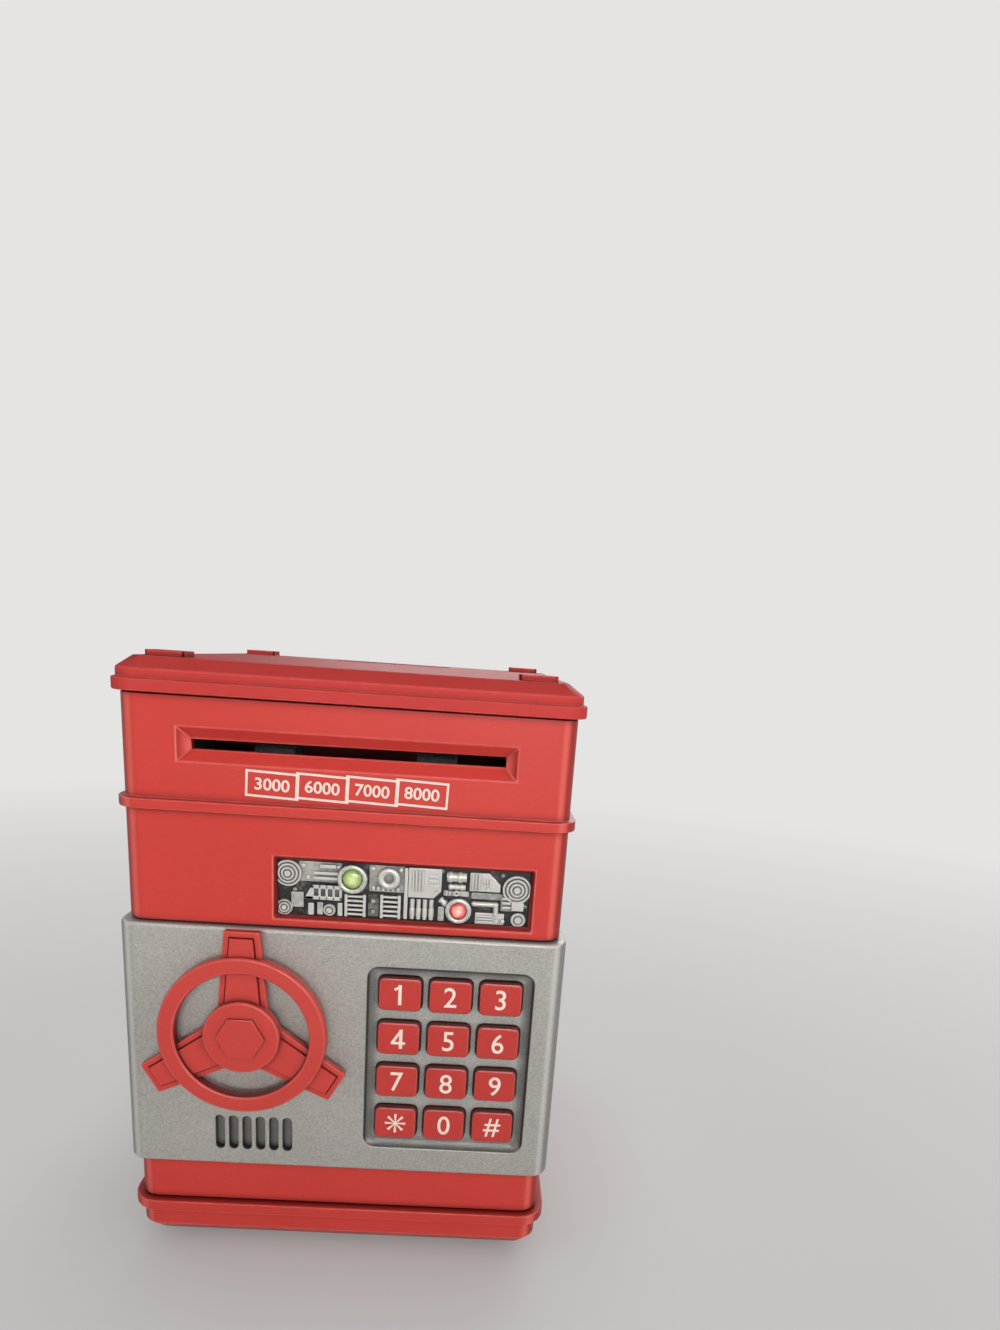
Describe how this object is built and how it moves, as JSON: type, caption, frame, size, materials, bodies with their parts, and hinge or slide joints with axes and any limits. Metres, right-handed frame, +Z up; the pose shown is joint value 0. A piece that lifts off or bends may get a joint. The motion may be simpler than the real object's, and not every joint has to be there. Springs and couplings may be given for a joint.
{
  "type": "toy cash machine savings bank",
  "caption": "Toy savings bank shaped as a cash machine: red case, silver coded door with hand wheel and keypad, bill slot, coin slot and a small machinery window.",
  "frame": {"origin": "middle of the bounding box's footprint, on the floor under the feet", "axes": "+Z up from the feet to the lid, -Y out of the front with the door, +X to the viewer's right when facing the front"},
  "size_m": [0.1326, 0.134, 0.1882],
  "materials": {
    "red_plastic": "moulded red plastic with a soft gloss",
    "silver_plastic": "silver grey plastic with a fine metal fleck",
    "grey_plastic": "plain grey plastic",
    "black_plastic": "plain black plastic",
    "rubber": "matte rubber",
    "circuit_board": "green coated board",
    "green_lens": "clear green lens",
    "red_lens": "clear red lens",
    "cream_nylon": "natural nylon",
    "steel": "plain steel"
  },
  "bodies": {
    "case": {"base_tray": "red_plastic", "rear_shell": "red_plastic", "front_shell": "red_plastic", "top_cover": "red_plastic", "hinge_pin_lower": "steel", "hinge_pin_upper": "steel", "machine_panel": "silver_plastic", "green_lamp": "green_lens", "red_lamp": "red_lens", "lamp_board": "circuit_board", "feeder_frame": "cream_nylon", "feeder_screw_left": "steel", "feeder_screw_right": "steel", "feed_motor": "steel", "battery_box": "black_plastic", "battery_contact_front": "steel", "battery_contact_rear": "steel", "battery_cover": "red_plastic", "battery_cover_screw": "steel", "case_screw_left_front": "steel", "case_screw_left_rear": "steel", "case_screw_right_front": "steel", "case_screw_right_rear": "steel"},
    "door": {"door_shell": "silver_plastic", "door_liner": "grey_plastic", "lock_solenoid": "black_plastic", "keypad_mat": "rubber", "keypad_board": "circuit_board", "speaker": "grey_plastic", "liner_screw_left_lower": "steel", "liner_screw_left_upper": "steel", "liner_screw_right_lower": "steel", "liner_screw_right_upper": "steel"},
    "wheel": {"hand_wheel": "red_plastic", "latch_arm": "grey_plastic", "latch_screw": "steel"},
    "plunger": {"lock_plunger": "steel"},
    "key_1_button": {"key_1": "red_plastic"},
    "key_2_button": {"key_2": "red_plastic"},
    "key_3_button": {"key_3": "red_plastic"},
    "key_4_button": {"key_4": "red_plastic"},
    "key_5_button": {"key_5": "red_plastic"},
    "key_6_button": {"key_6": "red_plastic"},
    "key_7_button": {"key_7": "red_plastic"},
    "key_8_button": {"key_8": "red_plastic"},
    "key_9_button": {"key_9": "red_plastic"},
    "key_0_button": {"key_0": "red_plastic"},
    "key_star_button": {"key_star": "red_plastic"},
    "key_hash_button": {"key_hash": "red_plastic"},
    "feed_roller": {"feed_shaft": "steel", "feed_tyre_left": "rubber", "feed_tyre_right": "rubber", "feed_gear": "cream_nylon"},
    "pinch_roller": {"pinch_shaft": "steel", "pinch_tyre_left": "rubber", "pinch_tyre_right": "rubber"},
    "motor_rotor": {"motor_pinion": "cream_nylon"}
  },
  "joints": [
    {"name": "door_swing", "type": "hinge", "parent": "case", "child": "door", "pos_m": [0.0607, -0.0456, 0.0719], "axis": [0, 0, 1], "range_deg": [0, 95]},
    {"name": "wheel_turn", "type": "hinge", "parent": "door", "child": "wheel", "pos_m": [-0.028, -0.0583, 0.0802], "axis": [0, 1, 0], "range_deg": [0, 60]},
    {"name": "lock_slide", "type": "slide", "parent": "door", "child": "plunger", "axis": [0, 1, 0], "range_m": [0, 0.0065], "stiffness_N_per_m": 30},
    {"name": "key_1_press", "type": "slide", "parent": "door", "child": "key_1_button", "axis": [0, 1, 0], "range_m": [0, 0.0014], "stiffness_N_per_m": 400},
    {"name": "key_2_press", "type": "slide", "parent": "door", "child": "key_2_button", "axis": [0, 1, 0], "range_m": [0, 0.0014], "stiffness_N_per_m": 400},
    {"name": "key_3_press", "type": "slide", "parent": "door", "child": "key_3_button", "axis": [0, 1, 0], "range_m": [0, 0.0014], "stiffness_N_per_m": 400},
    {"name": "key_4_press", "type": "slide", "parent": "door", "child": "key_4_button", "axis": [0, 1, 0], "range_m": [0, 0.0014], "stiffness_N_per_m": 400},
    {"name": "key_5_press", "type": "slide", "parent": "door", "child": "key_5_button", "axis": [0, 1, 0], "range_m": [0, 0.0014], "stiffness_N_per_m": 400},
    {"name": "key_6_press", "type": "slide", "parent": "door", "child": "key_6_button", "axis": [0, 1, 0], "range_m": [0, 0.0014], "stiffness_N_per_m": 400},
    {"name": "key_7_press", "type": "slide", "parent": "door", "child": "key_7_button", "axis": [0, 1, 0], "range_m": [0, 0.0014], "stiffness_N_per_m": 400},
    {"name": "key_8_press", "type": "slide", "parent": "door", "child": "key_8_button", "axis": [0, 1, 0], "range_m": [0, 0.0014], "stiffness_N_per_m": 400},
    {"name": "key_9_press", "type": "slide", "parent": "door", "child": "key_9_button", "axis": [0, 1, 0], "range_m": [0, 0.0014], "stiffness_N_per_m": 400},
    {"name": "key_0_press", "type": "slide", "parent": "door", "child": "key_0_button", "axis": [0, 1, 0], "range_m": [0, 0.0014], "stiffness_N_per_m": 400},
    {"name": "key_star_press", "type": "slide", "parent": "door", "child": "key_star_button", "axis": [0, 1, 0], "range_m": [0, 0.0014], "stiffness_N_per_m": 400},
    {"name": "key_hash_press", "type": "slide", "parent": "door", "child": "key_hash_button", "axis": [0, 1, 0], "range_m": [0, 0.0014], "stiffness_N_per_m": 400},
    {"name": "feed_roll", "type": "hinge", "parent": "case", "child": "feed_roller", "pos_m": [0, -0.03682, 0.1583], "axis": [1, 0, 0], "continuous": true},
    {"name": "pinch_roll", "type": "hinge", "parent": "case", "child": "pinch_roller", "pos_m": [0, -0.03682, 0.1687], "axis": [1, 0, 0], "continuous": true},
    {"name": "motor_spin", "type": "hinge", "parent": "case", "child": "motor_rotor", "pos_m": [0.0483, -0.03682, 0.1423], "axis": [1, 0, 0], "continuous": true}
  ],
  "couplings": [
    {"joint": "pinch_roll", "follows": "feed_roll", "ratio": -1},
    {"joint": "motor_spin", "follows": "feed_roll", "ratio": -3}
  ]
}
